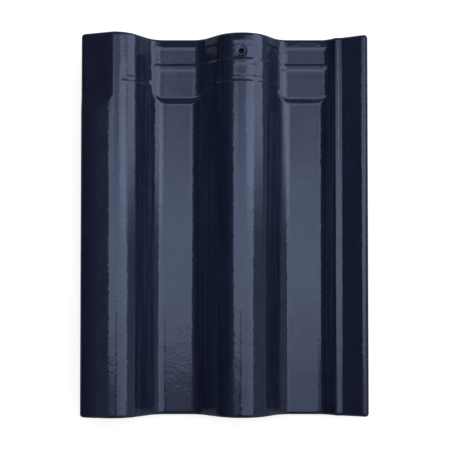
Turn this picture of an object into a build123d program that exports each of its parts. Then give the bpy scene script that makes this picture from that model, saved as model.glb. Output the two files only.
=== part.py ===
"""Interlocking wave roof tile of glazed ceramic, pressed as one piece.

X runs across the tile, from the cover roll on the left to the underlap on the right.
Y runs up the slope, from the tail to the head.
Z points up, out of the weather face, and the floor under the tile is at zero.
"""
from build123d import *
import os
from math import atan2, cos, degrees, isclose, radians, sin, tan

# Overall size, mm
tile_length = 400.0
tile_width = 300.0
wall = 10.0
foot_depth = 8.0
side_overlap = 25.0

# Cover roll: heights are above the pan, slopes are in degrees from level
cover_crest_inset = 34.0
cover_crest_rise = 36.5
cover_crest_radius = 32.0
cover_edge_slope = 14.0
cover_flank_slope = 51.5

# Second roll and the pans beside it: it stands a little left of halfway between cover rolls
roll_crest_shift = 3.9
roll_crest_rise = 33.0
roll_crest_radius = 37.0
roll_left_slope = 46.5
roll_right_slope = 52.0
pan_fillet = 20.0

# Ledge and underlap on the right, which the next tile's cover roll closes over
ledge_inset = 21.5
ledge_slope = 40.0
ledge_rise = 12.5
ledge_foot_radius = 16.0
ledge_edge_radius = 4.5
ledge_under_radius = 2.0
ledge_root_radius = 5.0
underlap_slope = 35.0
underlap_top_slope = 20.0
underlap_bend_radius = 25.0
lap_clearance = 1.0

# Rounding of the weather face's edges
side_radius = 4.0
end_radius = 3.5

# Rebate on the cover roll's head corner, under the tile diagonally above
rebate_length = 65.0
rebate_slope = 17.5
rebate_sink = 0.2
runout_length = 20.0
runout_rise = 3.2

# Raised floor of the pans at the head, which the tile above lands on
floor_rise = 3.7
floor_length = 63.0
floor_step_length = 6.0
floor_lap = 0.5

# Weather bars across the raised floors and the second roll
bar_rise = 0.8
bar_reach = 7.0
head_bar_from_head = 3.5
head_bar_width = 7.0
lower_bar_from_head = 28.3
lower_bar_width = 6.2

# Grooves across both rolls, past the bars
groove_from_head = 45.2
groove_width = 5.7
groove_depth = 0.8
cover_groove_start = 10.0

# Nail hole on the second roll's crest, in a shallow dish
nail_radius = 2.8
nail_from_head = 20.0
nail_dish_radius = 6.3
nail_seat_radius = 4.6
nail_dish_depth = 1.2

# Lugs under the head and ribs under the tail, one of each in a pan
foot_draft = 8.0
foot_corner = 2.0
lug_width = 34.0
lug_thickness = 10.0
lug_from_head = 2.0
rib_width = 44.0
rib_thickness = 9.0
rib_from_tail = 6.0

half_width = tile_width / 2
head_y = tile_length / 2
tail_y = -tile_length / 2
cover_width = tile_width - side_overlap
cover_crest_x = cover_crest_inset - half_width
roll_crest_x = cover_crest_x + cover_width / 2 - roll_crest_shift
ledge_root_x = cover_width - half_width
ledge_foot_x = ledge_root_x - ledge_inset
clear_height = 2 * cover_crest_rise


def meet(first, first_slope, second, second_slope):
    """The point where a line through one point crosses a line through another."""
    grade = tan(radians(first_slope))
    other = tan(radians(second_slope))
    x = (second[1] - first[1] + grade * first[0] - other * second[0]) / (grade - other)
    return x, first[1] + grade * (x - first[0])


def along(point, slope, x):
    """The point at x on a line of the given slope."""
    return x, point[1] + tan(radians(slope)) * (x - point[0])


def on_crest(x, rise, radius, slope):
    """The point of a round crest where it has the given slope."""
    lean = radians(slope)
    return x - radius * sin(lean), rise - radius * (1 - cos(lean))


def below(points, depth):
    """The corners of a chain of straight runs moved down by a depth, square to each run."""
    runs = []
    for (x0, z0), (x1, z1) in zip(points, points[1:]):
        lean = atan2(z1 - z0, x1 - x0)
        start = (x0 + depth * sin(lean), z0 - depth * cos(lean))
        runs.append((start, degrees(lean)))
    corners = [runs[0][0]]
    for (start, slope), (next_start, next_slope) in zip(runs, runs[1:]):
        corners.append(meet(start, slope, next_start, next_slope))
    corners.append(along(*runs[-1], points[-1][0]))
    return corners


# Where the straight flanks leave the round crests
cover_left = on_crest(cover_crest_x, cover_crest_rise, cover_crest_radius, cover_edge_slope)
cover_right = on_crest(cover_crest_x, cover_crest_rise, cover_crest_radius, -cover_flank_slope)
roll_left = on_crest(roll_crest_x, roll_crest_rise, roll_crest_radius, roll_left_slope)
roll_right = on_crest(roll_crest_x, roll_crest_rise, roll_crest_radius, -roll_right_slope)
pan = (0, 0)

# The cover roll's underside takes the next tile's underlap, with a clearance over it
cover_under = on_crest(
    cover_crest_x, cover_crest_rise - wall, cover_crest_radius - wall, underlap_top_slope
)
cover_under_edge = (-half_width, ledge_rise + lap_clearance)
cover_under_bend = meet(cover_under_edge, underlap_slope, cover_under, underlap_top_slope)

# Corners of the weather face from left to right, each with its radius
cover_foot = meet(cover_right, -cover_flank_slope, pan, 0)
roll_foot_left = meet(pan, 0, roll_left, roll_left_slope)
roll_foot_right = meet(roll_right, -roll_right_slope, pan, 0)
ledge_foot = (ledge_foot_x, 0)
ledge_edge = (ledge_foot_x + ledge_rise / tan(radians(ledge_slope)), ledge_rise)
ledge_root = (ledge_root_x, ledge_rise)
underlap_bend = (cover_under_bend[0] + cover_width, cover_under_bend[1] - lap_clearance)
cover_top = meet(cover_left, cover_edge_slope, cover_right, -cover_flank_slope)
roll_top = meet(roll_left, roll_left_slope, roll_right, -roll_right_slope)
face_corners = [
    (along(cover_left, cover_edge_slope, -half_width), side_radius),
    (cover_top, cover_crest_radius),
    (cover_foot, pan_fillet),
    (roll_foot_left, pan_fillet),
    (roll_top, roll_crest_radius),
    (roll_foot_right, pan_fillet),
    (ledge_foot, ledge_foot_radius),
    (ledge_edge, ledge_edge_radius),
    (ledge_root, ledge_root_radius),
    (underlap_bend, underlap_bend_radius),
    (along(underlap_bend, underlap_top_slope, half_width), side_radius),
]

# Corners of the underside from left to right, one wall below the weather face
under = below([point for point, radius in face_corners[1:]], wall)
under[0] = meet(cover_under, underlap_top_slope, under[0], -cover_flank_slope)
under_radii = [
    cover_crest_radius - wall,
    pan_fillet + wall,
    pan_fillet + wall,
    roll_crest_radius - wall,
    pan_fillet + wall,
    ledge_foot_radius + wall,
    ledge_under_radius,
    ledge_root_radius + wall,
    underlap_bend_radius - wall,
    0,
]
under_corners = [(cover_under_edge, 0), (cover_under_bend, underlap_bend_radius)]
under_corners += list(zip(under, under_radii))


def outline(corners):
    """A closed face in the tile's cross-section from corners with their radii."""
    points = [point for point, radius in corners]
    radii = [radius for point, radius in corners]
    return Plane.XZ * make_face(FilletPolyline(*points, radius=radii, close=True))


def above_face():
    """Everything over the weather face, for cuts that keep its wave."""
    first, last = face_corners[0][0], face_corners[-1][0]
    corners = [(first, 0)] + face_corners[1:-1] + [(last, 0)]
    corners += [((last[0], clear_height), 0), ((first[0], clear_height), 0)]
    return extrude(outline(corners), amount=head_y, both=True)


def strip(x_from, x_to, from_head, length):
    """A tall block over part of the tile, placed from the head edge."""
    center_y = head_y - from_head - length / 2
    block = Box(x_to - x_from, length, 2 * clear_height)
    return Pos((x_from + x_to) / 2, center_y, 0) * block


pan_feet = [(cover_foot, roll_foot_left), (roll_foot_right, ledge_foot)]
pan_slopes = [(cover_flank_slope, roll_left_slope), (roll_right_slope, ledge_slope)]
pan_fillets = [(pan_fillet, pan_fillet), (pan_fillet, ledge_foot_radius)]
pan_centers = [(left[0] + right[0]) / 2 for left, right in pan_feet]


def lap_height(slope, radius):
    """How high a raised floor runs up a flank, just past its rounding."""
    return floor_rise + radius * (1 - cos(radians(slope))) + floor_lap


def head_floor(feet, slopes, fillets):
    """The raised floor of one pan at the head, with its step down to the pan."""
    (left, right), (left_slope, right_slope) = feet, slopes
    level = (0, floor_rise)
    left_corner = meet(left, -left_slope, level, 0)
    right_corner = meet(level, 0, right, right_slope)
    left_top = meet(left, -left_slope, (0, lap_height(left_slope, fillets[0])), 0)
    right_top = meet((0, lap_height(right_slope, fillets[1])), 0, right, right_slope)
    corners = [
        (left_top, 0),
        (left_corner, fillets[0]),
        (right_corner, fillets[1]),
        (right_top, 0),
        ((right[0], -wall / 2), 0),
        ((left[0], -wall / 2), 0),
    ]
    length = floor_length + floor_step_length
    floor = extrude(Pos(0, head_y, 0) * outline(corners), amount=length, dir=(0, -1, 0))
    return floor - step_cut()


def step_cut():
    """Everything above the slope that ends the raised floors."""
    foot_y = head_y - floor_length - floor_step_length
    grade = floor_rise / floor_step_length
    corners = [
        (foot_y - floor_length, 0),
        (foot_y, 0),
        (foot_y + clear_height / grade, clear_height),
        (foot_y - floor_length, clear_height),
    ]
    return extrude(Plane.YZ * make_face(Polyline(*corners, close=True)), half_width, both=True)


def shell():
    """The wave shell, with the weather face rounded at its head and tail."""
    body = extrude(outline(face_corners + under_corners[::-1]), amount=head_y, both=True)
    for feet, slopes, fillets in zip(pan_feet, pan_slopes, pan_fillets):
        body += head_floor(feet, slopes, fillets)
    ends = body.faces().filter_by(Axis.Y)
    rims = [edge for end in ends for edge in end.edges() if is_on_weather_face(edge)]
    return fillet(rims, end_radius)


def is_on_weather_face(edge):
    """True for an end edge that lies on the weather face or on a side of the tile."""
    middle = edge @ 0.5
    on_side = isclose(abs(middle.X), half_width)
    return on_side or middle.Z > face_height(middle.X) - wall / 2


def face_height(x):
    """The height of the straight runs of the weather face at x, with no rounding."""
    points = [point for point, radius in face_corners]
    for (x0, z0), (x1, z1) in zip(points, points[1:]):
        if x0 <= x <= x1:
            return z0 + (z1 - z0) * (x - x0) / (x1 - x0)
    return points[-1][1]


def weather_bars(body):
    """The low bars across the raised floors and the roll between them."""
    left = cover_foot[0] - bar_reach
    right = ledge_foot[0] + bar_reach
    bars = strip(left, right, head_bar_from_head, head_bar_width)
    bars += strip(left, right, lower_bar_from_head, lower_bar_width)
    return bars & (Pos(0, 0, bar_rise) * body)


def weather_grooves():
    """The shallow grooves across the two rolls, which stop at the raised floors."""
    left = strip(cover_crest_x + cover_groove_start, cover_foot[0] - bar_reach,
                 groove_from_head, groove_width)
    right = strip(roll_foot_left[0] + bar_reach, roll_foot_right[0] - bar_reach,
                  groove_from_head, groove_width)
    return (left + right) & (Pos(0, 0, -groove_depth) * above_face())


def head_rebate():
    """The wedge taken off the cover roll's flank at the head, with a sloping run-out."""
    crease = (cover_crest_x, cover_crest_rise - rebate_sink)
    outer = along(crease, rebate_slope, -half_width - wall)
    corners = [crease, outer, (outer[0], clear_height), (crease[0], clear_height)]
    face = Plane.XZ * make_face(Polyline(*corners, close=True))
    start = Pos(0, head_y - rebate_length, 0) * face
    cut = extrude(start, amount=rebate_length, dir=(0, 1, 0))
    runout = Vector(0, -runout_length, runout_rise)
    return cut + extrude(start, amount=runout.length, dir=runout.normalized())


def nail_hole():
    """The bore for the nail, with the dish that its head sinks into."""
    top = Pos(roll_crest_x, head_y - nail_from_head, roll_crest_rise - nail_dish_depth)
    dish_grade = (nail_dish_radius - nail_seat_radius) / nail_dish_depth
    dish_rim = nail_seat_radius + dish_grade * 2 * nail_dish_depth
    dish = Cone(nail_seat_radius, dish_rim, 2 * nail_dish_depth,
                align=(Align.CENTER, Align.CENTER, Align.MIN))
    bore = Cylinder(nail_radius, 2 * wall)
    return top * (dish + bore)


def foot(center_x, center_y, width, thickness):
    """A drafted foot under a pan, standing on the floor."""
    base = RectangleRounded(width, thickness, foot_corner)
    base = Pos(center_x, center_y, -wall - foot_depth) * base
    return extrude(base, amount=foot_depth + wall / 2, taper=-foot_draft)


def tile():
    """The whole tile, standing on its lugs and ribs."""
    body = shell()
    body += weather_bars(body)
    for center_x in pan_centers:
        body += foot(center_x, head_y - lug_from_head - lug_thickness / 2,
                     lug_width, lug_thickness)
        body += foot(center_x, tail_y + rib_from_tail + rib_thickness / 2,
                     rib_width, rib_thickness)
    body -= weather_grooves()
    body -= head_rebate()
    body -= nail_hole()
    return Pos(0, 0, wall + foot_depth) * body


os.makedirs("parts", exist_ok=True)
roof_tile = tile()
export_step(roof_tile, "parts/roof_tile.step")
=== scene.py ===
"""Looks of the glazed wave roof tile, seen from straight above as in a catalogue picture."""
from math import atan2, cos, degrees, hypot, pi, radians, sin, tan

import bmesh
import bpy
import numpy as np
from mathutils import Matrix, Vector


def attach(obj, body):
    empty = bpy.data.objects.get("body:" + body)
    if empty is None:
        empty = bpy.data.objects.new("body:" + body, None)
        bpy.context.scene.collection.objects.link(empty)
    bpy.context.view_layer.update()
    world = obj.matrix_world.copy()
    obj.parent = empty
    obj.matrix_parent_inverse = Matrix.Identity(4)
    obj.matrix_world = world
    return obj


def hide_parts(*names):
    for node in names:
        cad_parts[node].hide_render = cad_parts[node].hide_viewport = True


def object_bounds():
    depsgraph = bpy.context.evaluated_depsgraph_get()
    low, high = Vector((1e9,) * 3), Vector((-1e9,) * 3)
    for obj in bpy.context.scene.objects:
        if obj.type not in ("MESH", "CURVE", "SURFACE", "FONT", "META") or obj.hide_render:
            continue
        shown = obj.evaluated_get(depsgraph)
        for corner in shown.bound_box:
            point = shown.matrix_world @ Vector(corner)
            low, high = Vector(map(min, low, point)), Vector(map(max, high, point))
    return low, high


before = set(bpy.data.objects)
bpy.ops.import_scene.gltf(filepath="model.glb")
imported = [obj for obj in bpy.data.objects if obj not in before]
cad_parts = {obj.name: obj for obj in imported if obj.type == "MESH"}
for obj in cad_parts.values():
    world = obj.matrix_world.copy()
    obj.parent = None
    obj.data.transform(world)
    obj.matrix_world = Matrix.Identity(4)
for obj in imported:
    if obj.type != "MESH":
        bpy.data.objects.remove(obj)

cad_box = [list(corner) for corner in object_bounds()]

# Sizes are in mm and slopes in degrees. Heights are above the pans, and the head is at +y
half_width, half_length = (round(1000 * side, 3) for side in cad_box[1][:2])
wall, foot_depth, foot_draft = 10.0, 8.0, 8.0
base = wall + foot_depth
side_radius, end_radius = 4.0, 3.5

# Section: the cover roll, the second roll, the ledge and the underlap edge
cover_x, cover_rise, cover_radius = -116.0, 36.5, 32.0
cover_edge_slope, cover_flank_slope = 14.0, 51.5
cover_shoulder_x, cover_shoulder_slope = -136.0, 12.0
cover_rim_slope, cover_rim_radius = 19.0, 110.0
roll_x, roll_rise, roll_radius = 17.6, 33.0, 37.0
roll_left_slope, roll_right_slope = 46.5, 52.0
pan_fillet = 20.0
ledge_x, ledge_slope, ledge_rise, ledge_root_x = 103.9, 44.0, 12.5, 123.2
ledge_foot_radius, ledge_edge_radius, ledge_root_radius = 16.0, 4.5, 5.0
lap_slope, lap_brow_x, lap_brow_radius = 25.9, 144.8, 12.0
cover_under_slope, cover_under_top_slope, cover_under_bend_radius = 35.0, 20.0, 25.0
lap_clearance, under_ledge_radius = 1.0, 2.0

# Head: the raised floors of the pans, their bars, and the grooves over the rolls
floor_rise, floor_foot_y, floor_step = 3.7, 131.0, 6.0
floor_foot_round, floor_edge_round = 0.5, 0.55
bar_rise, bar_fade, bar_overhang, bar_round = 0.8, 5.0, 7.0, 0.45
near_bar_front, near_bar_back = (165.1, 167.6), (171.3, 173.2)
head_bar_front, head_bar_back, head_bar_back_round = (188.2, 190.7), (190.9, 197.5), 1.6
groove_depth, groove_round = 0.8, 0.2
groove_front, groove_back = (148.7, 150.2), (153.6, 155.1)
roll_groove_ends = (-23.5, -21.5, 52.5, 54.5)
crease_x, crease_width, crease_depth, crease_runout = 120.9, 0.7, 0.10, (20, 120)

# Nail hole with its dish, and the rebate on the cover roll
nail_y, nail_radius = 180.0, 2.8
dish_radius, seat_radius, dish_depth = 6.3, 4.6, 1.2
dish_rim_round, dish_floor_round, dish_reach = 0.3, 0.35, 3.0
rebate_slope, rebate_sink, rebate_round, rebate_past_crest = 17.5, 0.2, 0.25, 8.0
rebate_y, runout_length, runout_rise = 135.0, 20.0, 3.2

# Feet of the underside: hanging lugs behind the head and ribs near the tail
lug_from_head, lug_width, lug_thickness = 7.0, 34.0, 10.0
rib_from_tail, rib_width, rib_thickness = 10.5, 44.0, 9.0

# Mesh: stretches of its grid, each from, to and spacing, closer where the relief is fine
x_lines, ledge_x_lines = (-145.0, 146.0, 1.45), (115.0, 128.0, 0.6)
y_lines = [(-190.0, 108.0, 10.0), (108.0, 126.0, 2.0), (126.0, 142.0, 0.8), (142.0, 149.0, 2.0),
           (148.5, 150.5, 0.25), (151.2, 153.0, 0.8), (153.4, 155.4, 0.25), (157.0, 165.0, 2.0),
           (164.9, 171.0, 0.5), (189.2, 196.5, 0.55)]
least_gap, foot_gap_x, foot_gap_y, nail_gap = 0.12, 0.5, 0.3, 9.4
nail_steps, nail_spacing = 18, 0.5
bore_square, bore_blend = 2.5, 8.5
round_steps, under_follow, sharp_angle = 8, 25.0, 38.0


# Section
def meet(a, slope_a, b, slope_b):
    """Where the line through a crosses the line through b."""
    rise_a, rise_b = tan(radians(slope_a)), tan(radians(slope_b))
    x = (b[1] - a[1] + rise_a * a[0] - rise_b * b[0]) / (rise_a - rise_b)
    return x, a[1] + rise_a * (x - a[0])


def along(p, slope, x):
    """The point at x of the line through p."""
    return x, p[1] + tan(radians(slope)) * (x - p[0])


def on_crest(x, rise, radius, slope):
    """The point of a round crest where its surface has a slope."""
    lean = radians(slope)
    return x - radius * sin(lean), rise - radius * (1 - cos(lean))


def below(points, depth):
    """The corners of a chain of straight runs, moved down by a depth square to each run."""
    streak_noise = []
    for (x0, z0), (x1, z1) in zip(points, points[1:]):
        lean = atan2(z1 - z0, x1 - x0)
        streak_noise.append(((x0 + depth * sin(lean), z0 - depth * cos(lean)), degrees(lean)))
    out = [streak_noise[0][0]]
    for (p, s), (q, t) in zip(streak_noise, streak_noise[1:]):
        out.append(meet(p, s, q, t))
    out.append(along(*streak_noise[-1], points[-1][0]))
    return out


cover_left = on_crest(cover_x, cover_rise, cover_radius, cover_edge_slope)
cover_right = on_crest(cover_x, cover_rise, cover_radius, -cover_flank_slope)
cover_shoulder = along(cover_left, cover_shoulder_slope, cover_shoulder_x)
roll_left = on_crest(roll_x, roll_rise, roll_radius, roll_left_slope)
roll_right = on_crest(roll_x, roll_rise, roll_radius, -roll_right_slope)
ledge_edge = (ledge_x + ledge_rise / tan(radians(ledge_slope)), ledge_rise)
ledge_root = (ledge_root_x, ledge_rise)
lap_brow = along(ledge_root, lap_slope, lap_brow_x)
cover_under = on_crest(cover_x, cover_rise - wall, cover_radius - wall, cover_under_top_slope)
under_edge = (-half_width, ledge_rise + lap_clearance)
under_bend = meet(under_edge, cover_under_slope, cover_under, cover_under_top_slope)


def face_corners(rise):
    """Corners and radii of the weather face, with the pans raised along their flanks."""
    level = (0, rise)
    return [
        (along(cover_shoulder, cover_rim_slope, -half_width), 0),
        (cover_shoulder, cover_rim_radius),
        (meet(cover_left, cover_shoulder_slope, cover_right, -cover_flank_slope), cover_radius),
        (meet(cover_right, -cover_flank_slope, level, 0), pan_fillet),
        (meet(level, 0, roll_left, roll_left_slope), pan_fillet),
        (meet(roll_left, roll_left_slope, roll_right, -roll_right_slope), roll_radius),
        (meet(roll_right, -roll_right_slope, level, 0), pan_fillet),
        (meet(level, 0, (ledge_x, 0), ledge_slope), ledge_foot_radius),
        (ledge_edge, ledge_edge_radius),
        (ledge_root, ledge_root_radius),
        (lap_brow, lap_brow_radius),
        ((half_width, lap_brow[1]), 0),
    ]


def profile(corners, x):
    """Heights at x of a chain of straight runs with rounded corners."""
    z = np.interp(x, [p[0] for p, r in corners], [p[1] for p, r in corners])
    for (a, _), (b, r), (c, _) in zip(corners, corners[1:], corners[2:]):
        if not r:
            continue
        s0 = atan2(b[1] - a[1], b[0] - a[0])
        s1 = atan2(c[1] - b[1], c[0] - b[0])
        t = r * tan(abs(s1 - s0) / 2)
        x0, z0 = b[0] - t * cos(s0), b[1] - t * sin(s0)
        x1 = b[0] + t * cos(s1)
        side = 1 if s1 > s0 else -1
        center_x, center_z = x0 - side * r * sin(s0), z0 + side * r * cos(s0)
        on = (x >= x0) & (x <= x1)
        z[on] = center_z - side * np.sqrt(np.maximum(r * r - (x[on] - center_x) ** 2, 0))
    return z


low_corners = face_corners(0)
high_corners = face_corners(floor_rise)
under = below([p for p, r in low_corners[2:]], wall)
under[0] = meet(cover_under, cover_under_top_slope, under[0], -cover_flank_slope)
under_radii = [cover_radius - wall, pan_fillet + wall, pan_fillet + wall, roll_radius - wall,
               pan_fillet + wall, ledge_foot_radius + wall, under_ledge_radius,
               ledge_root_radius + wall, under_ledge_radius, 0]
under_corners = [(under_edge, 0), (under_bend, cover_under_bend_radius)]
under_corners += list(zip(under, under_radii))


# Relief
def ramp(v, lo, hi):
    """A smooth rise from 0 to 1."""
    t = np.clip((v - lo) / (hi - lo), 0, 1)
    return t * t * (3 - 2 * t)


def between(v, start, full, end, out):
    """A smooth rise from 0 at start to 1 at full, and from end back to 0 at out."""
    return ramp(v, start, full) * (1 - ramp(v, end, out))


def soft_max(a, b, r):
    """The greater of two heights, with the inner corner filled by about r."""
    d = np.clip(r - np.abs(a - b), 0, None)
    return np.maximum(a, b) + d * d / (4 * r)


def soft_min(a, b, r):
    """The lesser of two heights, with the outer corner rounded by about r."""
    return -soft_max(-a, -b, r)


def slope_up(v, lo, hi, r):
    """A straight slope from 0 to 1 with its two ends rounded."""
    t = v - lo
    span = hi - lo
    up = soft_max(t, np.zeros_like(t), r)
    return soft_min(up, np.full_like(t, span), r) / span


def ridge(v, front, back, front_round, back_round):
    """A ridge of height 1 that rises over its front and falls over its back."""
    return slope_up(v, *front, front_round) * (1 - slope_up(v, *back, back_round))


bar_left = meet(cover_right, -cover_flank_slope, (0, 0), 0)[0] - bar_overhang
bar_right = ledge_x + bar_overhang
cover_groove_ends = (cover_x + 9.0, cover_x + 11.5, bar_left - 1.5, bar_left + 0.5)


def raised_floors(x, y):
    """The section, with the pans' floors stepped up towards the head."""
    low = profile(low_corners, x)
    high = profile(high_corners, x)
    step = soft_min(high, (y - floor_foot_y) * floor_rise / floor_step, floor_edge_round)
    stepped = soft_max(low, np.minimum(step, high), floor_foot_round)
    z = np.where(high - low > 1e-6, stepped, low)
    return np.minimum(z, np.maximum(high, low))


def bars(x, y):
    """Heights of the two weather bars across both pans and the second roll."""
    bar = ridge(y, head_bar_front, head_bar_back, bar_round, head_bar_back_round)
    bar = np.maximum(bar, ridge(y, near_bar_front, near_bar_back, bar_round, bar_round))
    across = between(x, bar_left, bar_left + bar_fade, bar_right - bar_fade, bar_right)
    return bar_rise * bar * across


def grooves(x, y):
    """Depths of the grooves over the two rolls, and of the fine crease along the ledge."""
    groove = ridge(y, groove_front, groove_back, groove_round, groove_round)
    over_rolls = np.maximum(between(x, *cover_groove_ends), between(x, *roll_groove_ends))
    crease = np.exp(-((x - crease_x) / crease_width) ** 2) * ramp(y, *crease_runout)
    return groove_depth * groove * over_rolls, crease_depth * crease


def with_rebate(x, y, z):
    """The cover roll cut down along its outer side at the head."""
    runout = np.clip((rebate_y - y) / runout_length, 0, None) * runout_rise
    lean = tan(radians(rebate_slope))
    plane = cover_rise - rebate_sink + (x - cover_x) * lean + runout
    return np.where(x < cover_x + rebate_past_crest, soft_min(z, plane, rebate_round), z)


def with_dish(x, y, z):
    """The second roll's crest sunk round the nail hole."""
    r = np.hypot(x - roll_x, y - nail_y)
    floor = roll_rise - dish_depth
    cone = floor + (r - seat_radius) * dish_depth / (dish_radius - seat_radius)
    dish = soft_max(cone, np.full_like(cone, floor), dish_floor_round)
    return np.where(r < dish_radius + dish_reach, soft_min(z, dish, dish_rim_round), z)


def top_height(x, y):
    """The weather face's height at grid points."""
    groove, crease = grooves(x, y)
    z = raised_floors(x, y) + bars(x, y) - groove - crease
    return with_dish(x, y, with_rebate(x, y, z))


def pan_center(left_flank, right_flank):
    """The middle of a pan between two flanks, each of them a point and a slope."""
    left = meet(*left_flank, (0, 0), 0)[0]
    right = meet((0, 0), 0, *right_flank)[0]
    return (left + right) / 2


# Each foot is the x and y of its centre, its width and its thickness
feet = []
for middle in (pan_center((cover_right, -cover_flank_slope), (roll_left, roll_left_slope)),
               pan_center((roll_right, -roll_right_slope), ((ledge_x, 0), ledge_slope))):
    feet.append((middle, half_length - lug_from_head, lug_width, lug_thickness))
    feet.append((middle, rib_from_tail - half_length, rib_width, rib_thickness))
foot_lean = tan(radians(foot_draft))


def under_height(x, y):
    """The underside's height at grid points, with the lugs and ribs."""
    z = profile(under_corners, x)
    for foot_x, foot_y, width, thickness in feet:
        out = np.maximum(np.abs(x - foot_x) - width / 2, np.abs(y - foot_y) - thickness / 2)
        z = np.minimum(z, -base + np.maximum(out, 0) / foot_lean)
    return z


# Mesh
def merged(*groups):
    """Grid lines from several lists, sorted, with near duplicates dropped."""
    every = np.sort(np.concatenate([np.asarray(group, float) for group in groups]))
    keep = [every[0]]
    for v in every[1:]:
        if v - keep[-1] > least_gap:
            keep.append(v)
    keep[-1] = every[-1]
    return np.array(keep)


def clear_of(lines, places, gap):
    """The lines that are further than a gap from every place."""
    for v in places:
        lines = lines[np.abs(lines - v) > gap]
    return lines


def foot_lines(middle, size):
    """Grid lines at the four edges of a foot along one direction."""
    reach = foot_depth * foot_lean
    return [middle - size / 2 - reach, middle - size / 2, middle + size / 2, middle + size / 2 + reach]


def grid_lines():
    """The x and y of the mesh's grid lines."""
    quarter = 1 - np.sin(np.linspace(0, pi / 2, round_steps))
    near_nail = np.arange(-nail_steps, nail_steps + 1) * nail_spacing
    foot_x = [v for x, y, width, thickness in feet for v in foot_lines(x, width)]
    foot_y = [v for x, y, width, thickness in feet for v in foot_lines(y, thickness)]
    xs = clear_of(np.arange(*x_lines), [roll_x], nail_gap)
    xs = clear_of(xs, foot_x, foot_gap_x)
    x = merged(-half_width + side_radius * quarter, half_width - side_radius * quarter, xs,
               roll_x + near_nail, foot_x, np.arange(*ledge_x_lines))
    ys = np.concatenate([np.arange(*stretch) for stretch in y_lines])
    ys = clear_of(ys, foot_y, foot_gap_y)
    y = merged(-half_length + end_radius * quarter, half_length - end_radius * quarter, ys,
               nail_y + near_nail, foot_y)
    return x, y


def bent_round_nail(x, y):
    """The grid with its square rings round the nail hole turned into circles."""
    u, v = x - roll_x, y - nail_y
    square = np.maximum(np.abs(u), np.abs(v))
    length = np.hypot(u, v)
    t = ramp(square, bore_square, bore_blend)
    want = (1 - t) * nail_radius * square / bore_square + t * length
    near = (square < bore_blend) & (length > 1e-9)
    scale = np.where(near, want / np.maximum(length, 1e-9), 1)
    return roll_x + u * scale, nail_y + v * scale


def on_round(d, r):
    """How far a quarter round of radius r has fallen at a distance d from the edge."""
    d = np.clip(d, 0, r)
    return r - np.sqrt(np.maximum(r * r - (r - d) ** 2, 0))


def face_points(x, y):
    """Points of the weather face and of the underside, over the same grid."""
    z = top_height(x, y)
    z = z - on_round(np.minimum(half_width - np.abs(x), side_radius), side_radius)
    # the rounded head and tail move the face in along its own normal
    dx, dz = np.gradient(x, axis=1), np.gradient(z, axis=1)
    length = np.hypot(dx, dz)
    nx, nz = -dz / length, dx / length
    nx[:, 0], nz[:, 0], nx[:, -1], nz[:, -1] = -1, 0, 1, 0
    drop = on_round(half_length - np.abs(y), end_radius)
    top = np.stack([x - drop * nx, y, z - drop * nz + base], -1)
    # the underside follows the sides inward
    edge = half_width - under_follow
    inward = np.sign(x) * (edge + (np.abs(x) - edge) * (under_follow - drop) / under_follow)
    under_x = np.where(np.abs(x) > edge, inward, x)
    low = np.stack([under_x, y, under_height(under_x, y) + base], -1)
    return top, low


def shell_faces(grid_x, grid_y):
    """Quads of both faces, the four sides and the nail hole's wall, as vertex numbers."""
    count = len(grid_x) * len(grid_y)
    index = np.arange(count).reshape(len(grid_y), len(grid_x))
    x0, x1 = (np.argmin(np.abs(grid_x - (roll_x + side))) for side in (-bore_square, bore_square))
    y0, y1 = (np.argmin(np.abs(grid_y - (nail_y + side))) for side in (-bore_square, bore_square))
    cells = np.ones((len(grid_y) - 1, len(grid_x) - 1), bool)
    cells[y0:y1, x0:x1] = False
    a, b = index[:-1, :-1][cells], index[:-1, 1:][cells]
    c, d = index[1:, 1:][cells], index[1:, :-1][cells]
    quads = [np.stack([a, b, c, d], -1), np.stack([d, c, b, a], -1) + count]
    bore = np.concatenate([index[y0, x0:x1], index[y0:y1, x1], index[y1, x1:x0:-1],
                           index[y1:y0:-1, x0], index[y0, x0:x0 + 1]])
    for rim in (index[0, :], index[-1, ::-1], index[::-1, 0], index[:, -1], bore[::-1]):
        p, q = rim[:-1], rim[1:]
        quads.append(np.stack([q, p, p + count, q + count], -1))
    return np.concatenate(quads)


def close_normals(mesh):
    """Drops the points inside the nail hole and turns all faces outward."""
    shell = bmesh.new()
    shell.from_mesh(mesh)
    loose = [v for v in shell.verts if not v.link_faces]
    bmesh.ops.delete(shell, geom=loose, context="VERTS")
    bmesh.ops.recalc_face_normals(shell, faces=shell.faces)
    shell.to_mesh(mesh)
    shell.free()


def add_object(name, data):
    """A new object at the origin, linked to the scene."""
    piece = bpy.data.objects.new(name, data)
    bpy.context.scene.collection.objects.link(piece)
    return piece


def build_tile():
    """The tile as one closed mesh, in metres in the CAD's frame."""
    grid_x, grid_y = grid_lines()
    top, low = face_points(*bent_round_nail(*np.meshgrid(grid_x, grid_y)))
    points = np.concatenate([top.reshape(-1, 3), low.reshape(-1, 3)]) / 1000
    mesh = bpy.data.meshes.new("glazed_tile")
    mesh.from_pydata(points.tolist(), [], shell_faces(grid_x, grid_y).tolist())
    mesh.validate()
    close_normals(mesh)
    mesh.polygons.foreach_set("use_smooth", [True] * len(mesh.polygons))
    mesh.set_sharp_from_angle(angle=radians(sharp_angle))
    return add_object("glazed_tile", mesh)


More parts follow.
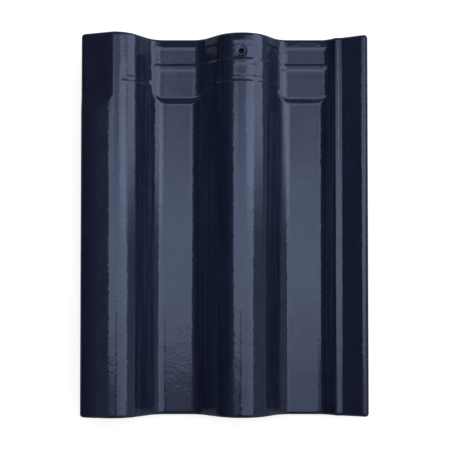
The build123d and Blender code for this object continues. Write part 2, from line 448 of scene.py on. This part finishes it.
# Materials
class Nodes:
    """Short calls for a node tree. A value is a plain one, or another node's output."""

    def __init__(self, owner):
        owner.use_nodes = True
        self.tree = owner.node_tree

    def new(self, kind):
        return self.tree.nodes.new("ShaderNode" + kind)

    def put(self, socket, value):
        if isinstance(value, bpy.types.NodeSocket):
            self.tree.links.new(value, socket)
        else:
            socket.default_value = value

    def feed(self, node, **values):
        """Sets or links inputs by name, with an underscore for each space."""
        for name, value in values.items():
            self.put(node.inputs[name.replace("_", " ")], value)

    def math(self, operation, *values):
        """The result of a Math node fed with values in order."""
        node = self.new("Math")
        node.operation = operation
        for socket, value in zip(node.inputs, values):
            self.put(socket, value)
        return node.outputs[0]

    def product(self, first, *others):
        for other in others:
            first = self.math("MULTIPLY", first, other)
        return first

    def greatest(self, first, *others):
        for other in others:
            first = self.math("MAXIMUM", first, other)
        return first

    def map_range(self, value, lo, hi, start=0.0, end=1.0, kind="LINEAR"):
        """Turns from start to end while value goes from lo to hi."""
        node = self.new("MapRange")
        node.interpolation_type = kind
        self.feed(node, Value=value, From_Min=lo, From_Max=hi, To_Min=start, To_Max=end)
        return node.outputs["Result"]

    def step(self, place, lo, hi, start=0.0, end=1.0):
        """Turns smoothly from start to end while a place goes from lo to hi, in mm."""
        return self.map_range(place, lo / 1000, hi / 1000, start, end, "SMOOTHSTEP")

    def noise(self, place, scale, detail, roughness=0.5):
        node = self.new("TexNoise")
        self.feed(node, Vector=place, Scale=scale, Detail=detail, Roughness=roughness)
        return node.outputs["Fac"]

    def split(self, vector):
        """The x, y and z of a vector."""
        node = self.new("SeparateXYZ")
        self.feed(node, Vector=vector)
        return node.outputs

    def mix(self, share, first, second):
        """A colour between two, by a share from 0 to 1."""
        node = self.new("MixRGB")
        self.feed(node, Fac=share, Color1=first, Color2=second)
        return node.outputs["Color"]

    def colour_ramp(self, value, stops):
        """A colour for a value, from stops of a value and a colour each."""
        node = self.new("ValToRGB")
        elements = node.color_ramp.elements
        while len(elements) < len(stops):
            elements.new(0.5)
        for element, (position, colour) in zip(elements, stops):
            element.position = position
            element.color = colour
        self.feed(node, Fac=value)
        return node.outputs["Color"]


def grey(shade):
    return (shade, shade, shade, 1)


def glaze():
    """Glossy navy glaze with a slight orange peel, and paler streaks painted down the steep flanks as
    a painted reflection.
    """
    material = bpy.data.materials.new("navy_glaze")
    n = Nodes(material)
    bsdf = n.tree.nodes["Principled BSDF"]
    n.feed(bsdf, Roughness=0.07, IOR=1.6, Specular_Tint=(0.571, 0.686, 1.0, 1))
    deep_navy, navy = (0.0042, 0.0062, 0.0200, 1), (0.0060, 0.0085, 0.0258, 1)
    painted_reflection_navy = (0.0130, 0.0180, 0.0360, 1)
    place = n.new("TexCoord").outputs["Object"]
    body = n.colour_ramp(n.noise(place, 60, 3), [(0.35, deep_navy), (0.65, navy)])

    # the streaks are thin across the tile and long down it; on the steep flanks they lighten the base
    # colour as a painted reflection
    lengthwise = n.new("Mapping")
    n.feed(lengthwise, Vector=place, Scale=(1.0, 0.014, 0.6))
    streak_noise = n.noise(lengthwise.outputs["Vector"], 560, 1.0)
    upright = n.split(n.new("NewGeometry").outputs["Normal"])[2]
    steep = n.map_range(upright, 0.93, 0.78)
    # painted reflection: paler navy in the base colour along the streaks, only where the face is steep
    painted_flank_reflection = n.product(n.map_range(streak_noise, 0.47, 0.68), steep)
    n.feed(bsdf, Base_Color=n.mix(painted_flank_reflection, body, painted_reflection_navy))

    # orange peel, a finer grain, slow waves and streaks along the tile
    height = n.noise(place, 270, 1.5, 0.45)
    grain, waves = n.noise(place, 600, 1.0, 0.4), n.noise(place, 68, 0.0)
    for layer, share in ((grain, 0.46), (waves, 1.7), (streak_noise, 0.12)):
        height = n.math("MULTIPLY_ADD", layer, share, height)
    bump = n.new("Bump")
    n.feed(bump, Strength=1.0, Distance=0.00013, Height=height)
    n.feed(bsdf, Normal=bump.outputs["Normal"])
    return material


tile = build_tile()
tile.data.materials.append(glaze())
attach(tile, "root")
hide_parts("roof_tile")


# Studio
def sheet_light(name, low, high, y_range):
    """A flat softbox between two (x, z) edges that faces the tile, over a range of y."""
    (x0, z0), (x1, z1) = low, high
    y0, y1 = y_range
    width, depth = hypot(x1 - x0, z1 - z0) / 1000, (y1 - y0) / 1000
    data = bpy.data.lights.new(name, "AREA")
    data.shape = "RECTANGLE"
    data.size, data.size_y = width, depth
    data.energy = pi * width * depth
    piece = add_object(name, data)
    piece.location = ((x0 + x1) / 2000, (y0 + y1) / 2000, (z0 + z1) / 2000)
    across = Vector((x1 - x0, 0, z1 - z0)).normalized()
    facing = Vector((across.z, 0, -across.x))
    tile_middle = Vector((0, 0, 0.02))
    if facing.dot(tile_middle - piece.location) < 0:
        facing = -facing
    piece.rotation_euler = Matrix((across, facing.cross(across), -facing)).transposed().to_euler()
    piece.visible_camera = False
    return data


def shade_light(data, shading):
    """Sets a softbox's strength to what shading makes of the place on its sheet."""
    n = Nodes(data)
    place = n.new("NewGeometry").outputs["Position"]
    n.feed(n.tree.nodes["Emission"], Strength=shading(n, place))


def key_shading(n, place):
    """Dimmer towards the head and the tail, uneven like cloth, cut off by a slanting left end."""
    x, y, _ = n.split(place)
    left_end = n.step(n.math("ADD", x, n.math("MULTIPLY", y, 0.21)), -440, -424)
    tail = n.step(y, -260, -40, 0.62, 1.0)
    left_tail = n.product(n.step(y, -236, -168, 0.62, 0.0), n.step(x, -60, 60, 1.0, 0.0))
    right_dip, left_dip = n.step(y, 40, 320, 1.0, 0.48), n.step(y, 230, 400, 1.0, 0.55)
    on_left = n.step(x, -170, -70, 1.0, 0.0)
    dip = n.math("ADD", right_dip, n.product(n.math("SUBTRACT", left_dip, right_dip), on_left))
    cloth = n.map_range(n.noise(place, 22, 2.0), 0.3, 0.7, 0.84, 1.16)
    return n.product(tail, dip, n.math("SUBTRACT", 1.0, left_tail), cloth, 2.05, left_end)


def head_shading(n, place):
    """From nothing over the middle of the tile to full over its head."""
    return n.product(n.step(n.split(place)[1], 90, 260), 1.26)


def side_shading(n, place):
    """From nothing near the tail half to full over the head half."""
    return n.product(n.step(n.split(place)[1], -20, 165), 1.89)


def floor_plane():
    """A white floor with a painted shadow under the tile, where its colour and glow go dark. The glaze
    mirrors its glow only far out.
    """
    size = 6.0
    shadow_reach, head_shadow_reach, rim = 70, 7, 1
    near, far = 700, 2000
    mesh = bpy.data.meshes.new("studio_floor")
    mesh.from_pydata([(-size, -size, 0), (size, -size, 0), (size, size, 0), (-size, size, 0)],
                     [], [(0, 1, 2, 3)])
    piece = add_object("studio_floor", mesh)
    material = bpy.data.materials.new("white_floor")
    n = Nodes(material)
    bsdf = n.tree.nodes["Principled BSDF"]
    n.feed(bsdf, Roughness=0.9, Specular_IOR_Level=0.0, Emission_Color=grey(1))
    x, y, _ = n.split(n.new("NewGeometry").outputs["Position"])
    across, lengthwise = n.math("ABSOLUTE", x), n.math("ABSOLUTE", y)
    tailward = n.math("MULTIPLY", y, -1.0)
    # the painted shadow fades in faster at the head, because the nail hole shows the floor there
    out_of_painted_shadow = n.greatest(n.step(across, half_width - shadow_reach, half_width - rim),
                         n.step(tailward, half_length - shadow_reach, half_length - rim),
                         n.step(y, half_length - head_shadow_reach, half_length + rim))
    far_out = n.greatest(n.step(across, half_width + near, half_width + far),
                         n.step(lengthwise, half_length + near, half_length + far))
    # painted shadow: the floor's colour is dark grey under the tile and pale outside it
    n.feed(bsdf, Base_Color=n.mix(out_of_painted_shadow, grey(0.02), grey(0.55)))
    rays = n.new("LightPath").outputs
    direct = n.greatest(rays["Is Camera Ray"], rays["Is Transmission Ray"])
    mirrored = n.product(rays["Is Glossy Ray"], 0.45)
    glow = n.greatest(n.product(direct, out_of_painted_shadow), n.product(mirrored, far_out))
    n.feed(bsdf, Emission_Strength=n.product(glow, 0.75))
    mesh.materials.append(material)


def camera_arm():
    """The dark arm that holds the camera, which the glaze mirrors as a thin line."""
    mesh = bpy.data.meshes.new("camera_arm")
    # each end is its y in mm and how wide its section is drawn there
    middle_x, far_end, near_end = -2, (-440, 2.2), (-93, 0.55)
    section = [(-22, 600), (-14, 590), (10, 590), (18, 600), (10, 611), (-14, 611)]
    points = [((x * wide + middle_x) / 1000, y / 1000, z / 1000)
              for y, wide in (far_end, near_end) for x, z in section]
    sides = [(i, (i + 1) % 6, (i + 1) % 6 + 6, i + 6) for i in range(6)]
    mesh.from_pydata(points, [], sides + [tuple(range(5, -1, -1)), tuple(range(6, 12))])
    piece = add_object("camera_arm", mesh)
    material = bpy.data.materials.new("black_metal")
    n = Nodes(material)
    n.feed(n.tree.nodes["Principled BSDF"], Base_Color=grey(0.01), Roughness=0.6)
    mesh.materials.append(material)
    piece.visible_camera = False
    piece.visible_shadow = False


def room():
    """A room that is dark on the left, and paler next to the softbox and on the right."""
    world = bpy.data.worlds.new("studio")
    bpy.context.scene.world = world
    n = Nodes(world)
    sideways = n.split(n.new("TexCoord").outputs["Generated"])[0]
    shades = [(-1.0, 0.032), (-0.78, 0.074), (-0.60, 0.168), (-0.47, 0.347), (-0.25, 0.231),
              (0.30, 0.231), (0.60, 0.546), (0.88, 0.525), (1.0, 0.357)]
    stops = [((side + 1) / 2, grey(shade)) for side, shade in shades]
    walls = n.colour_ramp(n.map_range(sideways, -1.0, 1.0), stops)
    seen = n.mix(n.new("LightPath").outputs["Is Camera Ray"], walls, grey(1))
    n.feed(n.tree.nodes["Background"], Color=seen, Strength=1.0)


def camera():
    """The camera above the tail half, tipped slightly towards the head."""
    data = bpy.data.cameras.new("camera")
    data.sensor_width = 36
    data.lens = 75.14
    data.shift_y = 0.117
    data.clip_end = 50
    piece = add_object("camera", data)
    piece.location = (0.0003, -0.0808, 1.018)
    piece.rotation_euler = (radians(1.5), 0, 0)
    bpy.context.scene.camera = piece


# The main softbox leans over the tile, from its low right edge to its high left edge. A
# ceiling strip behind it adds to the right of each highlight over the head half, and a low
# card closes the light down to the head half of the tile on the right
for name, low, high, y_range, shading in (
        ("key_softbox", (270, 345), (-560, 1100), (-340, 440), key_shading),
        ("head_strip", (365, 1311), (1150, 1311), (60, 620), head_shading),
        ("side_card", (165, 80), (270, 345), (-60, 440), side_shading)):
    shade_light(sheet_light(name, low, high, y_range), shading)
floor_plane()
camera_arm()
room()
camera()
bpy.context.scene.view_settings.view_transform = "Standard"
